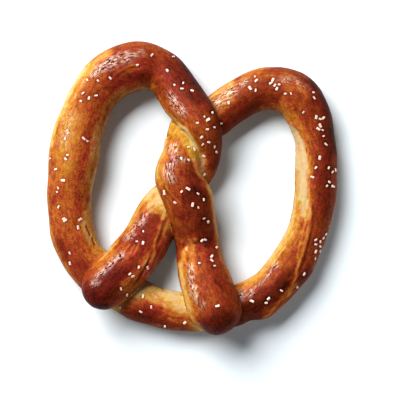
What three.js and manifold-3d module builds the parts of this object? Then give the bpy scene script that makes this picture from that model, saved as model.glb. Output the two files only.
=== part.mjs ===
// A hand-twisted soft pretzel, baked flat on its sole.
// One rope of dough: end A lies on the base at the lower left, its arm runs up into the twist,
// the rope goes round the left loop, along the base and round the right loop, and comes back
// through the twist to end B, which lies on the base right of the middle.
// Millimetres, +Z up. The origin is on the sole, under the middle of the pretzel.

import * as THREE from 'three';
import { mergeVertices } from 'three/addons/utils/BufferGeometryUtils.js';
import Module from 'manifold-3d';

const wasm = await Module();
wasm.setup();

// Height of the risen rope as a share of its width.
const ROUNDNESS = 0.82;
// How much of the rope's round underside the baking sheet flattens away.
const SOLE_DEPTH = 1.6;
// Length of a rounded rope end.
const END_LENGTH = 12;

// Where the rope is laid, how wide it is there, and how far it is lifted off the baking sheet
// by the strand under it.
const STATIONS = [
  // End A, lying over the base, and its arm up to the twist.
  { x: -53, y: -59.5, width: 22.5, lift: 10 },
  { x: -45, y: -51, width: 23, lift: 10 },
  { x: -33, y: -39, width: 25, lift: 5 },
  { x: -23, y: -24, width: 24.5, lift: 0 },
  { x: -14, y: -10, width: 23.5, lift: 0 },
  // Under the front strand, round the bulge on the right, and over the other strand.
  { x: -1, y: 3.5, width: 19, lift: 0 },
  { x: 7, y: 18, width: 16.5, lift: 6 },
  { x: 4.5, y: 33, width: 20, lift: 11 },
  { x: -8, y: 50.5, width: 23.5, lift: 3 },
  // Left loop.
  { x: -17.5, y: 61, width: 23.5, lift: 0 },
  { x: -31, y: 63, width: 26, lift: 0 },
  { x: -48.5, y: 53.5, width: 25.5, lift: 0 },
  { x: -57.5, y: 35, width: 25.5, lift: 0 },
  { x: -62, y: 14.5, width: 26, lift: 0 },
  { x: -64, y: -7.5, width: 23, lift: 0 },
  { x: -59.5, y: -29.5, width: 23, lift: 0 },
  // Base, pressed by both ends.
  { x: -52.5, y: -41, width: 23, lift: 0 },
  { x: -42.5, y: -50, width: 21.5, lift: 0 },
  { x: -19, y: -61.5, width: 20.5, lift: 0 },
  { x: 7, y: -64.5, width: 20.5, lift: 0 },
  { x: 34, y: -57, width: 22, lift: 0 },
  // Right loop.
  { x: 48, y: -44.5, width: 21.5, lift: 0 },
  { x: 60, y: -23, width: 21.5, lift: 0 },
  { x: 64.5, y: 2.5, width: 22.5, lift: 0 },
  { x: 63.5, y: 26, width: 21.5, lift: 0 },
  { x: 55.5, y: 46.5, width: 24, lift: 0 },
  { x: 40, y: 51.5, width: 22.5, lift: 0 },
  { x: 22.5, y: 44.5, width: 22, lift: 0 },
  // Under the other strand, the turn on the left, and the front strand down over it.
  { x: 9, y: 35.5, width: 20, lift: 0 },
  { x: -2.5, y: 26.5, width: 20, lift: 4 },
  { x: -7, y: 8, width: 22.5, lift: 10 },
  { x: -1.5, y: -8, width: 24, lift: 8 },
  // Arm of end B, down to the sheet and up over the base.
  { x: 2.5, y: -28, width: 23, lift: 0 },
  { x: 6, y: -44.5, width: 26.5, lift: 4 },
  { x: 11.5, y: -62, width: 27, lift: 8 },
  { x: 15.5, y: -75.5, width: 25, lift: 8 },
];

// The rope is made in three stretches, none of which crosses itself. They meet at these shares
// of its length, on the left loop and on the right loop.
const MEETINGS = [0.36, 0.68];

// Fineness of the faceted surface: corners round the rope, distance from ring to ring along it,
// and rings in each rounded end.
const CORNERS = 20;
const RING_SPACING = 4.6;
const END_RINGS = 5;
const LENGTH_SAMPLES = 2000;

const SKYWARD = new THREE.Vector3(0, 0, 1);

const CRUST = new THREE.MeshStandardMaterial({ color: 0x9c4a1c, roughness: 0.42, metalness: 0 });

function risenHeight(width) {
  return width * ROUNDNESS;
}

// The middle of the rope at a station, with its underside SOLE_DEPTH below the sheet where the
// rope isn't lifted.
function middleOf(station) {
  const middleHeight = station.lift - SOLE_DEPTH + risenHeight(station.width) / 2;
  return new THREE.Vector3(station.x, station.y, middleHeight);
}

function smoothCurve(points) {
  return new THREE.CatmullRomCurve3(points, false, 'catmullrom', 0.5);
}

const route = smoothCurve(STATIONS.map(middleOf));
route.arcLengthDivisions = LENGTH_SAMPLES;
const widths = smoothCurve(STATIONS.map((station) => new THREE.Vector3(station.width, 0, 0)));
const ropeLength = route.getLength();

// The rope's middle, width, and sideways and upward directions at a distance from end A.
function ropeAt(distance) {
  const t = route.getUtoTmapping(distance / ropeLength);
  const heading = route.getTangent(t);
  const side = new THREE.Vector3().crossVectors(heading, SKYWARD).normalize();
  const up = new THREE.Vector3().crossVectors(side, heading);
  return { middle: route.getPoint(t), width: widths.getPoint(t).x, side, up };
}

// The rings of one stretch, as distances from end A and shares of the full section. The full
// section runs from one distance to the other, and each end is rounded off beyond them.
function ringsOf(from, to) {
  const steps = Math.round((to - from) / RING_SPACING);
  const rings = [];
  for (let i = 0; i < END_RINGS; i += 1) {
    const angle = ((i / END_RINGS) * Math.PI) / 2;
    rings.push({ distance: from - END_LENGTH * Math.cos(angle), share: Math.sin(angle) });
  }
  for (let i = 0; i <= steps; i += 1) {
    rings.push({ distance: from + ((to - from) * i) / steps, share: 1 });
  }
  for (let i = END_RINGS - 1; i >= 0; i -= 1) {
    const angle = ((i / END_RINGS) * Math.PI) / 2;
    rings.push({ distance: to + END_LENGTH * Math.cos(angle), share: Math.sin(angle) });
  }
  return rings;
}

// A sphere drawn out along the rope: its poles are the stretch's two ends, and each of its
// parallels is an oval section across the rope.
function stretchGeometry(from, to) {
  const rings = ringsOf(from, to);
  const geometry = new THREE.SphereGeometry(1, CORNERS, rings.length - 1);
  const position = geometry.getAttribute('position');
  const corner = new THREE.Vector3();
  for (let ringIndex = 0; ringIndex < rings.length; ringIndex += 1) {
    const { distance, share } = rings[ringIndex];
    const { middle, width, side, up } = ropeAt(distance);
    for (let i = 0; i <= CORNERS; i += 1) {
      const angle = (i / CORNERS) * 2 * Math.PI;
      corner.copy(middle);
      corner.addScaledVector(side, (share * Math.cos(angle) * width) / 2);
      corner.addScaledVector(up, (share * Math.sin(angle) * risenHeight(width)) / 2);
      position.setXYZ(ringIndex * (CORNERS + 1) + i, corner.x, corner.y, corner.z);
    }
  }
  return geometry;
}

function solidOf(geometry) {
  geometry.deleteAttribute('normal');
  geometry.deleteAttribute('uv');
  const merged = mergeVertices(geometry);
  return new wasm.Manifold(
    new wasm.Mesh({
      numProp: 3,
      vertProperties: new Float32Array(merged.getAttribute('position').array),
      triVerts: new Uint32Array(merged.getIndex().array),
    }),
  );
}

function geometryOf(solid) {
  const mesh = solid.getMesh();
  const geometry = new THREE.BufferGeometry();
  geometry.setAttribute('position', new THREE.BufferAttribute(mesh.vertProperties, mesh.numProp));
  geometry.setIndex(new THREE.BufferAttribute(mesh.triVerts, 1));
  geometry.computeVertexNormals();
  return geometry;
}

// What lies below the sheet, which the flat sole is cut by.
function belowSheet() {
  const reach = 200;
  const depth = 20;
  const geometry = new THREE.BoxGeometry(reach, reach, depth);
  geometry.translate(0, 0, -depth / 2);
  return solidOf(geometry);
}

function pretzelGeometry() {
  const meetings = MEETINGS.map((share) => share * ropeLength);
  const bounds = [END_LENGTH, ...meetings, ropeLength - END_LENGTH];
  let dough = solidOf(stretchGeometry(bounds[0], bounds[1]));
  for (let i = 1; i < bounds.length - 1; i += 1) {
    dough = dough.add(solidOf(stretchGeometry(bounds[i], bounds[i + 1])));
  }
  return geometryOf(dough.subtract(belowSheet()));
}

const pretzel = new THREE.Mesh(pretzelGeometry(), CRUST);
pretzel.name = 'pretzel';

const part = new THREE.Group();
part.add(pretzel);

export default part;
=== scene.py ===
"""A hand-twisted soft pretzel: lye-browned crust, pale splits and coarse salt, on a pale floor."""

import itertools
import math
import random

import bpy
import numpy as np
from bpy.props import FloatProperty, FloatVectorProperty, IntProperty, PointerProperty
from mathutils import Matrix, Vector
from mathutils.bvhtree import BVHTree


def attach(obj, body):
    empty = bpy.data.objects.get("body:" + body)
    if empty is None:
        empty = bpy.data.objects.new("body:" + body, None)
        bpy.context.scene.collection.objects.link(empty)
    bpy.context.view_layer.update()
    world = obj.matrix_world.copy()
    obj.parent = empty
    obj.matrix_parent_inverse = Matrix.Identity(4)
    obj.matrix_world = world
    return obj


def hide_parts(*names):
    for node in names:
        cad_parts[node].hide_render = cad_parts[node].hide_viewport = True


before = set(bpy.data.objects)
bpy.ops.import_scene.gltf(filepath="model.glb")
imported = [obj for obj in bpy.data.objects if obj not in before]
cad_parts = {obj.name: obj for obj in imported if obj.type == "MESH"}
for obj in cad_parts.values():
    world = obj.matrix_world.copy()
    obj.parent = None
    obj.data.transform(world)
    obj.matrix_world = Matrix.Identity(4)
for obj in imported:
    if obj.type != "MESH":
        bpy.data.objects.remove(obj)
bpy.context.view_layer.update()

bl_info = {
    "name": "Soft Pretzel",
    "version": (1, 0, 0),
    "blender": (4, 5, 0),
    "location": "View3D > Sidebar > Pretzel",
    "description": "Shapes, bakes and salts a hand-twisted soft pretzel",
    "category": "Add Mesh",
}

MM = 0.001


def linear(hex_colour):
    """An sRGB hex colour, such as "c8702a", as linear red, green, blue and alpha 1."""
    shares = [int(hex_colour[i:i + 2], 16) / 255 for i in (0, 2, 4)]
    return (*[s / 12.92 if s <= 0.04045 else ((s + 0.055) / 1.055) ** 2.4 for s in shares], 1.0)


# ---------------------------------------------------------------------------------------------
# The rope's route, from end A over the base at the lower left to end B over the base.
# x, y: the middle of the rope. width: how wide it is there. lift: how far the strand under it
# holds it off the baking sheet. All in millimetres.
# ---------------------------------------------------------------------------------------------
STATIONS = (
    # End A and its arm.
    (-53, -59.5, 22.5, 10),
    (-45, -51, 23, 10),
    (-33, -39, 25, 5),
    (-23, -24, 24.5, 0),
    (-14, -10, 23.5, 0),
    # Under the front strand, round the bulge and over the other strand.
    (-1, 3.5, 19, 0),
    (7, 18, 16.5, 6),
    (4.5, 33, 20, 11),
    (-8, 50.5, 23.5, 3),
    # Left loop.
    (-17.5, 61, 23.5, 0),
    (-31, 63, 26, 0),
    (-48.5, 53.5, 25.5, 0),
    (-57.5, 35, 25.5, 0),
    (-62, 14.5, 26, 0),
    (-64, -7.5, 23, 0),
    (-59.5, -29.5, 23, 0),
    # Base.
    (-52.5, -41, 23, 0),
    (-42.5, -50, 21.5, 0),
    (-19, -61.5, 20.5, 0),
    (7, -64.5, 20.5, 0),
    (34, -57, 22, 0),
    # Right loop.
    (48, -44.5, 21.5, 0),
    (60, -23, 21.5, 0),
    (64.5, 2.5, 22.5, 0),
    (63.5, 26, 21.5, 0),
    (55.5, 46.5, 24, 0),
    (40, 51.5, 22.5, 0),
    (22.5, 44.5, 22, 0),
    # Under the other strand, the turn and the front strand.
    (9, 35.5, 20, 0),
    (-2.5, 26.5, 20, 4),
    (-7, 8, 22.5, 10),
    (-1.5, -8, 24, 8),
    # Arm of end B and its end.
    (2.5, -28, 23, 0),
    (6, -44.5, 26.5, 4),
    (11.5, -62, 27, 8),
    (15.5, -75.5, 25, 8),
)
# The rounded rope ends; where the rope's three stretches meet, none of which crosses itself; and
# how far apart its samples and the rings of its tubes lie. Millimetres.
END_LENGTH = 12.0
STRETCH_ENDS = (244.0, 456.0)
SAMPLE_STEP = 0.5
RING_STEP = 3.0

# ---------------------------------------------------------------------------------------------
# What is drawn on the rope. Places are (along, across): millimetres from end A, and -1 at the
# rope's left edge to 1 at its right edge.
# ---------------------------------------------------------------------------------------------
# Lips, where crust stopped and soft dough was drawn out beside it.
SHOULDER_LIP = ((120, -1.05), (115, -0.88), (110, -0.77), (105, -0.62), (100, -0.5), (95, -0.27),
                (92, -0.07), (90, 0.18))
SPLIT_LIP = ((403, 0.3), (407, 0.22), (412.5, 0.12), (419.5, 0), (424.5, -0.08), (430, -0.1),
             (437, -0.22), (444, -0.33), (450, -0.37), (455, -0.37), (460, -0.4), (465, -0.47),
             (470, -0.52), (475, -0.6), (478.5, -0.65), (481, -0.8), (483, -1.05))
CREASE = ((564.5, 1.15), (565.2, 0.88), (565.8, 0.71), (566.5, 0.32), (567.9, 0.1), (570.7, -0.21),
          (573.1, -0.39), (574.6, -0.61), (578.7, -0.79), (586.3, -0.92), (590, -1.1))
# Cracks, folds and drawn-out ridges.
ARM_CRACKS = (((39, 0.5), (34.5, 0.58), (30.5, 0.68)), ((29, 0.7), (26.5, 0.75), (22.5, 0.82)))
ARM_RIDGE = ((57, 0.25), (52.5, 0.33), (47, 0.38), (40, 0.5), (35, 0.55), (31, 0.55))
TOP_FOLD = ((160, -0.02), (165, -0.02), (169, -0.08), (173.5, -0.14), (177.5, -0.32))
INNER_CRACKS = (((262, -0.68), (268, -0.75)), ((270, -0.8), (275, -0.8)))
BASE_FOLDS = (((377, 0.9), (383, 0.75), (390, 0.62), (394, 0.55), (402, 0.5)),
              ((381, 0.98), (387, 0.85), (393, 0.75), (398, 0.7)))
SPLIT_RIDGE = ((408, 0.03), (412, -0.1), (418, -0.2), (424, -0.3))
FRONT_FOLDS = (((580, 0.72), (585, 0.62), (590, 0.5), (594, 0.35)),
               ((583, 0.9), (588, 0.75), (593, 0.6)))
ARM_B_RIDGE = ((632, 0.5), (634.5, 0.5), (642, 0.55), (646, 0.5), (650, 0.4))
ARM_B_GROOVE = ((632, 0.48), (636.5, 0.38), (645, 0.32), (649, 0.28))
BLISTER = ((611.8, 0.05), (612.4, 0.05))

# BROWNING, HUES and SHINE hold brush strokes. In a row: the value; half the width of the brush,
# or None where the places outline a filled patch; half the width of the fading rim; the places.
# Widths are in millimetres.

# How brown the crust is, from 0, cream dough, to 1, nearly black. Later ones cover earlier ones.
BROWNING = (
    # Arm of end A.
    (0.76, 10, 4, (6, 0), (52, 0)),
    # Painted light: the shaded lower right flank of the arm is drawn paler, as if lit more.
    (0.54, 3, 2.5, (17, 0.75), (50, 0.78)),
    (0.58, 2, 2, (14, 0.5), (28, 0.5)),
    # Painted light: the shaded edge of that flank is drawn paler still, as if lit more.
    (0.26, 1.8, 1.8, (30, 0.92), (60, 0.84)),
    (0.91, 7, 4, (3, 0.1), (13, 0.1)),
    (0.88, 3.5, 3, (12, 0.05), (22, 0.1)),
    (0.97, 2.5, 3, (0, 0.3), (4, 0.4)),
    (0.58, 1.5, 2, (26, -0.2), (31, -0.18)),
    (0.6, 2, 2, (12, -0.7), (34, -0.6)),
    (0.5, 1.6, 1.6, (40, -0.75), (52, -0.75)),
    (0.3, 0.4, 0.7, (28, -0.15), (36, -0.2)),
    (0.36, 0.4, 0.7, (29, -0.42), (35, -0.38)),
    (0.36, 0.4, 0.6, (31, -0.02), (38, -0.1)),
    (0.62, 1.5, 2, (0, 0.9), (12, 0.9)),
    (0.97, 1.8, 1.8, (0, 0.6), (6, 0.66)),
    (0.5, 1.6, 1.8, (19, 0.5), (34, 0.5)),
    (0.48, 1.4, 1.6, (15, -0.75), (28, -0.74)),
    (0.42, 1.2, 1.2, (14, -1), (19, -0.98)),
    (0.16, 1.3, 1.2, (21, -0.98), (34, -0.95)),
    (0.38, 1.2, 1.2, (34, -0.96), (45, -0.96)),
    (0.24, 1.4, 1.4, (45, -0.97), (66, -0.92)),
    (0.22, None, 2.2, (54, -0.75), (58, -0.42), (60, -0.1), (61, 0.1), (62, 0.3), (72, 0.3),
     (72, -0.85)),
    (0.38, 2, 2.2, (54, 0.38), (64, 0.42)),
    (0.36, 1.6, 1.6, (50, 0.66), (62, 0.64)),
    (0.06, 1, 1.2, (58, 0.22), (63, 0.1)),
    (0.08, 1.6, 1.4, (63, -0.92), (68, -0.8)),
    (0.1, 1.6, 1.6, (60, -0.5), (66, -0.4)),
    (0.74, 0.8, 1, (40, 0.62), (49, 0.52)),
    (0.44, 0.9, 1, (55, -0.5), (60, -0.42)),
    (0.28, 0.5, 0.8, *ARM_RIDGE),
    (0.3, 0.5, 0.8, (34, 0.68), (38.5, 0.62)),
    *((0.92, 0.2, 0.5, *crack) for crack in ARM_CRACKS),
    # Bulge and the strand up from it.
    (0.9, 2.2, 2, (118, 0.85), (148, 0.85)),
    (0.62, 3, 2.5, (104, -0.25), (120, -0.2)),
    (0.91, 4.5, 3, (124, 0.5), (146, 0.45)),
    (0.52, 1.4, 1.4, (109, 0.98), (115, 0.98)),
    (0.55, 1.8, 2, (112, -0.65), (136, -0.72)),
    (0.42, 1.2, 1.2, (126, -0.97), (136, -0.95)),
    (0.86, 1.8, 2, (95, 0.86), (118, 0.86)),
    (0.52, 1.8, 1.8, (102, -0.3), (107, -0.4)),
    (0.54, 2, 2, (84, 0.7), (91, 0.6)),
    (0.12, 0.8, 0.9, (108, -1), (128, -1)),
    (0.22, None, 0.8, (84, -1.2), (84, 0.3), *SHOULDER_LIP[::-1], (120, -1.2)),
    (0.12, 2.2, 1.6, (87, 0.2), (92, 0.05), (99, -0.25)),
    (0.04, 1.1, 0.7, *SHOULDER_LIP),
    # Top of the left loop.
    (0.72, 10, 4, (140, 0), (176, 0)),
    (0.86, 4.5, 3, (136, 0.5), (142, 0.5)),
    (0.96, 1.8, 1.8, (127, 0.92), (143, 0.9)),
    (0.84, 3, 2.2, (154, -0.42), (190, -0.42)),
    (0.78, 1.8, 1.6, (162, -0.62), (175, -0.62)),
    (0.5, 1.6, 1.6, (144, -0.82), (170, -0.8)),
    (0.28, 1, 1.2, (145, -1), (160, -1)),
    (0.64, 1.6, 1.8, (150, 0.88), (165, 0.8)),
    (0.66, 2, 2, (160, -0.12), (170, -0.12)),
    (0.26, 0.3, 0.5, *TOP_FOLD),
    # Left loop.
    (0.5, 10, 3, (190, 0), (262, 0)),
    (0.58, 4, 3, (182, 0.05), (201, 0.05)),
    (0.75, 3, 2.4, (172, -0.28), (183, -0.35)),
    (0.67, 2.4, 2.4, (186, -0.45), (218, -0.48)),
    (0.58, 2.8, 2.4, (218, -0.45), (240, -0.45)),
    (0.65, 2.2, 2.4, (242, -0.5), (253, -0.48)),
    (0.37, 4.4, 3, (204, 0.2), (227, 0.3)),
    (0.31, 2.2, 2.5, (206, 0.38), (221, 0.35)),
    (0.42, 3, 2.5, (227, 0.25), (236, 0.35)),
    (0.54, 5, 3, (241, 0.2), (262, 0.3)),
    (0.6, 1.8, 1.6, (231, 0.78), (247, 0.68)),
    (0.44, 1.2, 1.4, (206, 0.66), (226, 0.68)),
    (0.32, 2, 2, (190, 0.58), (205, 0.6)),
    (0.24, 2.2, 1.8, (173, 0.76), (188, 0.75)),
    # Painted reflection: these two rows draw the lit outer rim pale, partly pale dough and partly
    # the bright room reflected at the rim.
    (0.05, 1.6, 1.6, (184, 0.88), (200, 0.9)),
    (0.12, 2, 1.4, (199, 0.95), (220, 0.96)),
    (0.24, 1.6, 1.6, (181, 0.55), (190, 0.6)),
    (0.74, 1.4, 1.4, (183, -0.55), (191, -0.55)),
    (0.68, 1.4, 1.4, (215, -0.56), (224, -0.56)),
    (0.34, 1.2, 1.4, (222, 0.98), (262, 0.98)),
    (0.28, 1.6, 1.6, (173, -0.8), (189, -0.8)),
    (0.42, 1.6, 1.6, (190, -0.78), (203, -0.78)),
    (0.28, 1.7, 1.6, (206, -0.8), (242, -0.8)),
    (0.5, 1.4, 1.6, (237, -0.75), (252, -0.75)),
    (0.24, 1.2, 1.4, (150, -1), (200, -1)),
    (0.05, 1.5, 1.4, (228, -1), (270, -1)),
    (0.16, 1.3, 1.4, (270, -1), (286, -1)),
    (0.26, 1, 1.2, (198, -0.98), (226, -0.98)),
    (0.6, 1.1, 1.2, (230, 0.92), (238, 0.9)),
    (0.45, 0.7, 0.9, (183.2, -0.55), (184.6, -0.55)),
    (0.72, 1, 1.6, (246, 0.65), (248.5, 0.65)),
    # Where the left loop runs into the base.
    (0.58, 9, 4, (258, 0), (270, 0)),
    (0.67, 8, 4, (278, 0.1), (292, 0.1)),
    (0.79, 2, 2, (267, 0.62), (274, 0.66)),
    (0.77, 2.4, 2, (280, 0.22), (286, 0.3)),
    (0.54, 2.4, 2.4, (266, -0.38), (284, -0.42)),
    (0.27, 1.8, 1.5, (255, -0.82), (278, -0.78)),
    (0.32, 1.4, 1.4, (260, -0.62), (267, -0.6)),
    (0.2, 1.7, 1.5, (262, -0.6), (272, -0.7)),
    (0.38, 1.4, 1.4, (277, -0.74), (288, -0.7)),
    (0.15, 1.1, 1.1, (279, -1), (292, -0.98)),
    *((0.85, 0.2, 0.45, *crack) for crack in INNER_CRACKS),
    (0.4, 1.8, 1.6, (238, 1), (286, 1)),
    # Base.
    (0.24, 10, 3, (298, 0), (350, 0)),
    (0.52, None, 2.4, (309, 0.6), (312, 0.12), (317, -0.12), (326, -0.14), (329, 0.08),
     (335, 0.16), (342, 0.4), (345, 0.9), (340, 1.3), (305, 1.3)),
    (0.82, None, 2.6, (311, 0.8), (313, 0.45), (317, 0.15), (325, 0.08), (330, 0.42), (337, 0.58),
     (341, 0.8), (338, 1.3), (309, 1.3)),
    (0.88, 1.6, 2, (317, 0.55), (328, 0.6)),
    (0, 3.2, 2, (303, -0.15), (311, -0.05)),
    (0, 2.2, 1.6, (302, -0.45), (313, -0.48)),
    (0.02, 1.8, 1.6, (309, -0.75), (317, -0.9)),
    (0.16, 2.2, 1.6, (305, 0.5), (306, 0.9)),
    (0.68, 2, 1.6, (318, 0), (326, 0.02)),
    (0.66, 2.2, 1.6, (326, 0.12), (337, 0.38)),
    (0.08, 2.2, 2, (327, -0.8), (345, -0.7)),
    (0.12, 1.6, 1.8, (334, -0.38), (343, -0.25)),
    (0.84, 1.6, 1.6, (319, 0.27), (325, 0.27)),
    # Painted light: these three rows draw the base paler beside end A, where its shadow falls.
    (0.24, 2, 1.8, (306, 0.25), (311, 0.15)),
    (0.38, 1.8, 1.6, (312, 0.1), (316, 0)),
    (0.6, 1.4, 1.4, (312, 0.38), (317, 0.32)),
    (0.76, 1.5, 1.4, (327, 0.42), (334, 0.5)),
    (0.56, 1.4, 1.3, (336, 0.3), (342, 0.38)),
    (0.16, 1.2, 1.2, (318, -0.9), (324, -0.95)),
    (0.02, 1.3, 1.3, (328, -1), (345, -0.95)),
    (0.06, 2, 1.6, (346, 0.4), (348, 0.9)),
    (0.42, 0.5, 0.8, (329, 0.1), (342, 0.25)),
    (0.4, 0.5, 0.7, (332, 0.42), (343, 0.52)),
    (0.7, 1.2, 1.4, (310, 0.97), (344, 0.97)),
    (0.6, 1.2, 1.2, (326, 0.88), (337, 0.9)),
    (0.24, 1.6, 1.3, (302, 0.9), (308, 0.65)),
    # Base, right of end B.
    (0.8, 9, 4, (366, 0), (402, 0)),
    (0.92, 3.4, 2.8, (371, 0.3), (398, 0.28)),
    (0.97, 2, 1.8, (375, 0.48), (384, 0.45)),
    (0.96, 2, 1.8, (391, 0.3), (397, 0.32)),
    (0.63, 2, 2, (374, -0.38), (400, -0.38)),
    (0.7, 2.2, 2, (380, 0.78), (400, 0.76)),
    (0.42, 1.7, 1.6, (370, -0.78), (400, -0.76)),
    (0.88, 1.8, 1.8, (365, 0.82), (376, 0.85)),
    (0.84, 2, 2, (377, -0.12), (385, -0.1)),
    (0, 1.4, 1.3, (376, -1), (402, -1)),
    (0.58, 0.4, 0.7, (390, -0.28), (399, -0.28)),
    *((0.45, 0.4, 0.7, *fold) for fold in BASE_FOLDS),
    # Right loop.
    (0.76, 9, 4, (405, 0.2), (484, 0.2)),
    (0.7, 4.5, 3, (405, 0.5), (424, 0.5)),
    (0.86, 3.2, 3, (436, 0.55), (484, 0.6)),
    (0.66, 2.4, 2.4, (462, -0.12), (486, -0.15)),
    (0.56, 1.6, 1.6, (464, -0.4), (484, -0.4)),
    (0.84, 2, 2, (399, 0.78), (406, 0.8)),
    (0.6, 1.8, 1.8, (412, 0.68), (423, 0.72)),
    (0.62, 1.6, 1.4, (408, 0.98), (460, 0.98)),
    (0.56, 1.6, 1.4, (406, 0.3), (413, 0.28)),
    (0.52, 1.6, 1.6, (413, 0.08), (428, 0.05)),
    (0.58, 1.2, 1.2, (438, -0.13), (446, -0.18)),
    (0.74, 1.4, 1.3, (432, 0.84), (462, 0.84)),
    # The split along its inner side.
    (0.6, None, 2.4, (396, -0.62), (402, 0.12), (407, 0.16), (414, 0.04), (421, -0.1),
     (425, -0.3), (420, -0.6)),
    (0.47, 1.3, 1.4, (400, -0.55), (419, -0.55)),
    (0.24, None, 0.7, (366, -1.2), (372, -0.92), (388, -0.78), (400, -0.7), (412, -0.66),
     (419, -0.55), (423, -0.3), *SPLIT_LIP[5:], (484, -1.2)),
    (0.38, 1.2, 0.9, (416, -0.56), (429, -0.54)),
    (0.88, 1.6, 1.4, (398, 0.2), (405, 0.22)),
    (0.68, 1.2, 1.2, (412, -0.32), (427, -0.42)),
    (0.68, 1.4, 1.4, (405, -0.12), (412, -0.14)),
    (0.5, 1, 1, (411, -0.45), (421, -0.34)),
    (0.1, 1.1, 0.9, (396, -0.95), (428, -0.95)),
    (0.16, 0.9, 0.6, (425, -0.97), (446, -0.98)),
    (0.32, 0.8, 0.6, (425, -0.78), (437, -0.8)),
    (0.08, 1.8, 1.2, (431, -0.42), (446, -0.55)),
    (0.28, 0.7, 0.6, (424, -0.3), (434, -0.3)),
    (0.3, 0.6, 0.6, (440, -0.38), (452, -0.44)),
    (0.2, 0.8, 0.7, (438, -0.9), (456, -0.92)),
    (0.02, 1.8, 1, (440, -0.65), (457, -0.7)),
    (0.03, None, 0.7, (455, -1.2), (455, -0.45), (460, -0.48), (465, -0.56), (470, -0.62),
     (475, -0.7), (478.5, -0.77), (481, -0.9), (482.5, -1.2)),
    (0.14, 0.3, 0.6, (456, -0.76), (476, -0.88)),
    (0.9, 0.6, 0.9, (398, 0.68), (403, 0.46), (412.5, 0.26), (419.5, 0.14), (430, 0.05)),
    (0.32, 0.6, 0.7, (388, 0.74), (393, 0.67), (398, 0.52), *SPLIT_LIP[:6]),
    (0.24, 0.4, 0.5, *SPLIT_LIP[5:]),
    (0.34, 0.35, 0.5, *SPLIT_RIDGE),
    (0.46, 0.9, 0.9, (446, -0.28), (462, -0.32)),
    (0.86, 0.3, 0.5, (464, -0.5), (466, -0.5)),
    # Top of the right loop.
    (0.66, 9, 4, (486, 0), (510, 0)),
    (0.26, 1.8, 1.6, (484, -0.84), (489, -0.86)),
    (0.44, 1.6, 1.2, (474, -0.5), (486, -0.62)),
    (0.48, 1.8, 1.6, (486, -0.8), (503, -0.8)),
    (0.04, 1.2, 0.9, (473, -0.88), (477, -0.93), (481.5, -1)),
    (0.62, 2, 2, (493, -0.12), (500, -0.12)),
    (0.48, 1.8, 1.6, (494, 0.25), (502, 0.25)),
    (0.4, 1.8, 1.8, (492, -1), (518, -1)),
    (0.3, 1, 1.2, (486, -1), (492, -1)),
    (0.78, 2.4, 2.5, (484, 0.3), (490, 0.3)),
    (0.86, 2.4, 2.2, (482, 0.72), (496, 0.85)),
    (0.95, 1.8, 1.6, (464, 0.9), (494, 0.93)),
    (0.76, 9, 4, (514, 0), (538, 0)),
    (0.78, 3, 3, (505, -0.4), (514, -0.45)),
    (0.86, 4, 3, (518, -0.55), (548, -0.65)),
    (0.6, 3.4, 2.4, (501, 0.33), (516, 0.5)),
    (0.6, 1.6, 1.6, (507, -0.85), (518, -0.85)),
    (0.54, 1.6, 1.6, (493, -0.52), (502, -0.52)),
    (0.74, 1.8, 1.6, (512, 0.26), (524, 0.24)),
    (0.76, 1.5, 1.4, (498, 0.94), (510, 0.95)),
    (0.52, 1.4, 1.4, (511, 0.94), (520, 0.93)),
    (0.5, 1.6, 1.6, (514, 0.8), (527, 0.76)),
    (0.6, 1.8, 1.8, (522, 0.42), (528, 0.38)),
    # Painted reflection: the lit upper rim is drawn pale, partly pale dough and partly the bright
    # room reflected at the rim.
    (0.18, 1.7, 1.6, (527, 0.88), (546, 0.86)),
    (0.36, 4.2, 2.4, (531, 0.42), (548, 0.05)),
    (0.7, 1.8, 1.6, (518, 0.25), (528, 0.2)),
    (0.52, 1.6, 1.6, (534, 0.1), (540, 0.04)),
    (0.8, 2, 1.8, (524, -0.22), (541, -0.46)),
    # Front strand.
    (0.66, 10, 3, (574, 0), (590, 0)),
    (0.44, 7, 2, (566, -0.1), (569, -0.1)),
    (0.62, 3, 2.4, (575, -0.5), (577, 0.1)),
    (0.78, 3, 2.5, (580, -0.62), (586, -0.55)),
    (0.91, 5, 2.4, (593, -0.42), (598, -0.36)),
    (0.9, 3, 1.6, (593, 0.05), (597, 0.05)),
    (0.37, 1.8, 1.6, (568, 0.68), (583, 0.7)),
    # Painted highlight: the lit left rim of the front strand is drawn pale, over a golden edge of
    # its own.
    (0.1, 1.3, 1.2, (566, 0.94), (585, 0.94)),
    (0.5, 1.4, 1.4, (582, 0.88), (602, 0.86)),
    (0.56, 1.5, 1.4, (578, -0.88), (588, -0.9)),
    (0.24, 1.3, 1.2, (573, 0.86), (583, 0.84)),
    (0.64, 1.8, 1.6, (582, 0), (588, 0.1)),
    (0.96, 3.4, 2, (593, -0.45), (598, -0.1)),
    (0.9, 1.6, 1.4, (592, 0.1), (597, 0.08)),
    (0.86, 1.6, 1.6, (583, -0.72), (588, -0.7)),
    *((0.42, 0.5, 0.6, *fold) for fold in FRONT_FOLDS),
    # The turn's golden band.
    (0.33, None, 0.6, (546, 1.3), *CREASE, (590, -1.3), (546, -1.3)),
    (0.05, 1.2, 1.4, (553, 1), (557, 0.9), (560, 0.2), (562, -0.4), (566, -0.8)),
    (0.1, 1.2, 1.2, (567, -0.35), (569, -0.55)),
    (0.46, 0.4, 0.9, *CREASE),
    # Arm of end B.
    (0.75, 10, 4, (604, 0), (652, 0)),
    (0.8, 3.4, 2.4, (600, -0.5), (612, -0.5)),
    (0.64, 2.2, 2, (602, 0.2), (612, 0.25)),
    (0.62, 3, 2.5, (629, 0), (650, 0.05)),
    (0.67, 6, 3, (646, 0), (652, 0.1)),
    (0.56, 2, 2, (603, 0.65), (612, 0.68)),
    (0.94, 2.2, 1.8, (615, -0.5), (622, -0.48)),
    (0.16, 1.4, 1.3, (592, -1), (622, -1)),
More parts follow.
